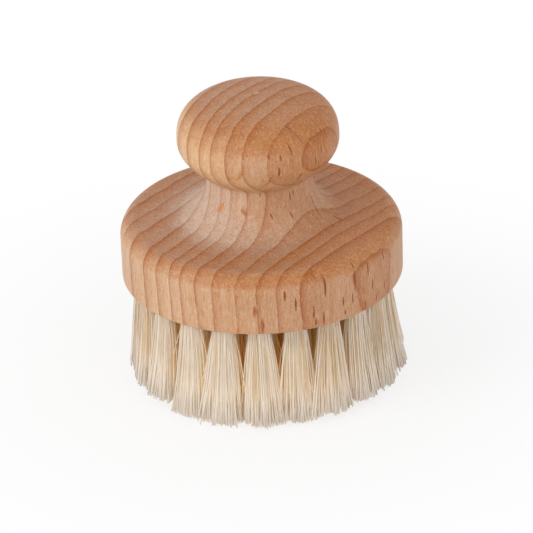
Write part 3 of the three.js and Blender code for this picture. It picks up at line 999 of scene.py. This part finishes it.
    marks = [(blemish(tree, place, *mark) * 0.8, getattr(finish, kind)) for *mark, kind in BLEMISHES]
    wood = layered(tree, wood, *marks)
    roughness = 0.46 + pores * 0.08 - rays * 0.05 + end * 0.08
    coat(tree, shader, wood, roughness, bands * 0.3 - pores * 0.6 - fine_rays * 0.4, 0.3, 0.03)
    shader.inputs["Specular IOR Level"].default_value = 0.3
    arrange(tree)
    return material


def fibre_material(finish):
    """Bleached plant fibre. Each strand has its own shade, streaked along it, and lets light through."""
    material, tree, shader, _, place = new_material("plant_fibre")
    marks = [add(tree, "ShaderNodeAttribute", attribute_name=name) for name in FIBRE_MARKS]
    shade, free, tuft = [signal(tree, mark, "Fac") for mark in marks]
    streak = streaks(tree, place, 0.3, 7.0, 2.0)
    straw = (shade + streak * 0.35 + (tuft - 0.5) * 0.2).smooth(0.62, 1.0)
    pale = (shade + streak * 0.25).smooth(0.4, 0.0)
    path = tree.nodes.new("ShaderNodeLightPath")
    strand = layered(
        tree,
        finish.cream,
        # Yellower strands, darkened also as painted shade between the strands.
        (straw * 0.9, finish.straw),
        (pale * 0.8, finish.pale),
        # Painted light on the tips, in the shade near the floor.
        (free.smooth(0.45, 1.0) * 0.92, finish.tip),
        (path.outputs["Is Diffuse Ray"], finish.bounce),
    )
    coat(tree, shader, strand, 0.52 + streak * 0.12, streak, 0.2, 0.02)
    shader.inputs["Specular IOR Level"].default_value = 0.25
    passing = add(tree, "ShaderNodeBsdfTransparent", {"Color": finish.glow})
    mixed = {0: path.outputs["Is Shadow Ray"], 1: shader.outputs[0], 2: passing.outputs[0]}
    clear = add(tree, "ShaderNodeMixShader", mixed)
    put(tree, tree.nodes["Material Output"].inputs["Surface"], clear.outputs[0])
    arrange(tree)
    return material


def wire_material():
    """Galvanised steel wire with the fine lines of drawing."""
    material, tree, shader, _, place = new_material("galvanised_wire")
    lines = streaks(tree, place, 0.12, 5.0, 3.0)
    patch = noise(tree, place, 1.8, 3.0).smooth(0.35, 0.7)
    steel = blend_colours(tree, patch, srgb(168, 170, 172), srgb(140, 143, 146))
    coat(tree, shader, steel, 0.36 + lines * 0.1 + patch * 0.12, lines, 0.15, 0.02)
    shader.inputs["Metallic"].default_value = 1.0
    arrange(tree)
    return material


class BRUSH_OT_finish_staples(bpy.types.Operator):
    """Gives the wire staples in the holes their finish"""

    bl_idname = "brush.finish_staples"
    bl_label = "Finish the Staples"

    def execute(self, context):
        material = wire_material()
        staples = [node for name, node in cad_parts.items() if name.startswith("staple_")]
        if not staples:
            raise RuntimeError("the packed part has no staples")
        for staple in staples:
            for slot in staple.material_slots:
                slot.material = material
        return {"FINISHED"}


# The stage


def lamp(name, power, place, target, size):
    """A soft square lamp that faces a point."""
    light = bpy.data.lights.new(name, "AREA")
    light.energy = power
    light.size = size
    item = bpy.data.objects.new(name, light)
    item.location = place
    item.rotation_euler = (Vector(target) - Vector(place)).to_track_quat("-Z", "Y").to_euler()
    bpy.context.scene.collection.objects.link(item)


def seen_directly(tree):
    """Whether a ray is the camera's own, or comes to it off gloss or through glass."""
    path = tree.nodes.new("ShaderNodeLightPath")
    camera = Signal(tree, path.outputs["Is Camera Ray"])
    gloss = Signal(tree, path.outputs["Is Glossy Ray"])
    through = Signal(tree, path.outputs["Is Transmission Ray"])
    return (camera + gloss + through).clamped()


def floor_material(shade):
    """White floor that shows as white but for a share of the shadow, and is clear from below."""
    material = bpy.data.materials.new("white_floor")
    material.use_nodes = True
    tree = material.node_tree
    shader = tree.nodes["Principled BSDF"]
    shader.inputs["Base Color"].default_value = (FLOOR_WHITE, FLOOR_WHITE, FLOOR_WHITE, 1.0)
    shader.inputs["Roughness"].default_value = 0.9
    shader.inputs["Specular IOR Level"].default_value = 0.0
    coords = tree.nodes.new("ShaderNodeTexCoord")
    distance = vector_step(tree, "LENGTH", {0: coords.outputs["Object"]}, "Value")
    near = 1.0 - distance.smooth(0.035, 0.12)
    white = add(tree, "ShaderNodeEmission", {"Color": (1.0, 1.0, 1.0), "Strength": 1.0})
    bare = add(tree, "ShaderNodeBsdfTransparent")
    cover = seen_directly(tree) * (1.0 - near * shade)
    shown = add(tree, "ShaderNodeMixShader", {0: cover, 1: shader.outputs[0], 2: white.outputs[0]})
    back = tree.nodes.new("ShaderNodeNewGeometry").outputs["Backfacing"]
    sided = add(tree, "ShaderNodeMixShader", {0: back, 1: shown.outputs[0], 2: bare.outputs[0]})
    put(tree, tree.nodes["Material Output"].inputs["Surface"], sided.outputs[0])
    arrange(tree)
    return material


def even_world(surround):
    """Even light from all round, behind a background that shows as white."""
    world = bpy.data.worlds.new("even_light")
    world.use_nodes = True
    tree = world.node_tree
    background = tree.nodes["Background"]
    background.inputs["Color"].default_value = (1.0, 1.0, 1.0, 1.0)
    put(tree, background.inputs["Strength"], surround + seen_directly(tree) * (1.0 - surround))
    arrange(tree)
    return world


def camera_at(settings):
    """The camera on its arc about the pivot, with the line of sight moved off it to frame the brush."""
    tilt = settings.elevation
    roll = settings.roll
    pivot = Vector((0.0, 0.0, settings.pivot_height))
    place = pivot + settings.distance * Vector((0.0, -math.cos(tilt), math.sin(tilt)))
    level_up = Vector((0.0, math.sin(tilt), math.cos(tilt)))
    right = math.cos(roll) * Vector((1.0, 0.0, 0.0)) - math.sin(roll) * level_up
    up = math.sin(roll) * Vector((1.0, 0.0, 0.0)) + math.cos(roll) * level_up
    aim = pivot + settings.aim_across * right - settings.aim_down * up
    back = (place - aim).normalized()
    side = up.cross(back).normalized()
    turn = Matrix((side, back.cross(side), back)).transposed()
    data = bpy.data.cameras.new("camera")
    data.lens = settings.lens
    data.sensor_width = 36.0
    data.clip_end = 20.0
    camera = bpy.data.objects.new("camera", data)
    camera.matrix_world = Matrix.Translation(place) @ turn.to_4x4()
    return camera


class BRUSH_OT_set_stage(bpy.types.Operator):
    """Lays the floor, sets the light and places the camera"""

    bl_idname = "brush.set_stage"
    bl_label = "Set the Stage"

    def execute(self, context):
        scene = context.scene
        settings = scene.brush_stage
        mesh = bpy.data.meshes.new("floor")
        turns = [2 * math.pi * i / FLOOR_SIDES for i in range(FLOOR_SIDES)]
        rim = [(FLOOR_RADIUS * math.cos(turn), FLOOR_RADIUS * math.sin(turn), 0.0) for turn in turns]
        mesh.from_pydata(rim, [], [tuple(range(FLOOR_SIDES))])
        mesh.materials.append(floor_material(settings.floor_shade))
        floor = bpy.data.objects.new("floor", mesh)
        scene.collection.objects.link(floor)
        lamp("key_lamp", settings.key_power, *KEY_LAMP)
        lamp("fill_lamp", settings.fill_power, *FILL_LAMP)
        scene.world = even_world(settings.surround)
        camera = camera_at(settings)
        scene.collection.objects.link(camera)
        scene.camera = camera
        scene.view_settings.view_transform = "Standard"
        scene.cycles.max_bounces = 20
        scene.cycles.transparent_max_bounces = 64
        scene.cycles.diffuse_bounces = 14
        return {"FINISHED"}


class BRUSH_PT_panel(bpy.types.Panel):
    """Sizes, finishes and steps of the facial brush"""

    bl_idname = "BRUSH_PT_panel"
    bl_label = "Facial Brush"
    bl_space_type = "VIEW_3D"
    bl_region_type = "UI"
    bl_category = "Brush"

    def draw(self, context):
        layout = self.layout
        for operator in OPERATORS:
            layout.operator(operator.bl_idname)
        for name, group in GROUPS.items():
            box = layout.box()
            box.label(text=group.__doc__.rstrip("."))
            for field in group.__annotations__:
                box.prop(getattr(context.scene, name), field)


OPERATORS = (BRUSH_OT_turn_body, BRUSH_OT_set_tufts, BRUSH_OT_finish_staples, BRUSH_OT_set_stage)
GROUPS = {
    "brush_body": BodySizes,
    "brush_tufts": TuftSizes,
    "brush_beech": BeechFinish,
    "brush_fibre": FibreFinish,
    "brush_stage": StageSettings,
}


def register():
    for name, group in GROUPS.items():
        bpy.utils.register_class(group)
        setattr(bpy.types.Scene, name, PointerProperty(type=group))
    for item in (*OPERATORS, BRUSH_PT_panel):
        bpy.utils.register_class(item)


def unregister():
    for item in reversed((*OPERATORS, BRUSH_PT_panel)):
        bpy.utils.unregister_class(item)
    for name, group in reversed(GROUPS.items()):
        delattr(bpy.types.Scene, name)
        bpy.utils.unregister_class(group)


def main():
    register()
    bpy.ops.brush.turn_body()
    bpy.ops.brush.set_tufts()
    bpy.ops.brush.finish_staples()
    bpy.ops.brush.set_stage()


if __name__ == "__main__":
    main()
